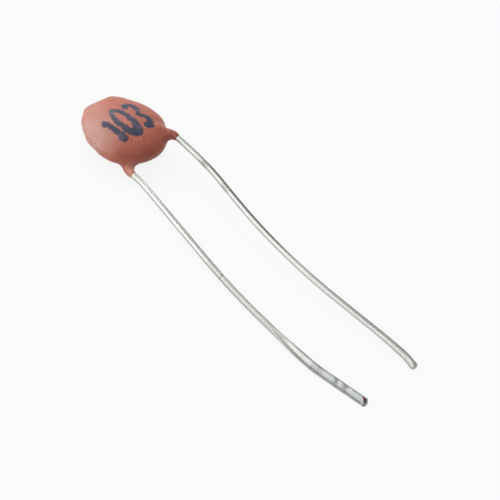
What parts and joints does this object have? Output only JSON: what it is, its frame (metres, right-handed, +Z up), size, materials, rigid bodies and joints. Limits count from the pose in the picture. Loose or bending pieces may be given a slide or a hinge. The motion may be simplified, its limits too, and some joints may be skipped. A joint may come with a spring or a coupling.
{
  "type": "ceramic disc capacitor",
  "caption": "Small dipped ceramic disc capacitor lying flat, with radial wire leads that droop to the surface, one of them pressed flat at its end.",
  "frame": {"origin": "the point on the surface under the middle of the disc, where the crown of its rear face rests", "axes": "+Z up along the disc's axis, out of the front face; +X in the plane of the surface, the way the two leads run; +Y towards the front lead's side"},
  "size_m": [0.0327, 0.0088, 0.0026],
  "materials": {
    "dipped_coating": "satin",
    "ceramic": "matte",
    "silver_electrode": "satin",
    "solder": "satin",
    "tinned_wire": "gloss"
  },
  "bodies": {
    "root": {"coating": "dipped_coating", "ceramic_disc": "ceramic", "front_electrode": "silver_electrode", "rear_electrode": "silver_electrode", "front_solder": "solder", "rear_solder": "solder", "front_lead": "tinned_wire", "rear_lead": "tinned_wire"}
  },
  "joints": []
}
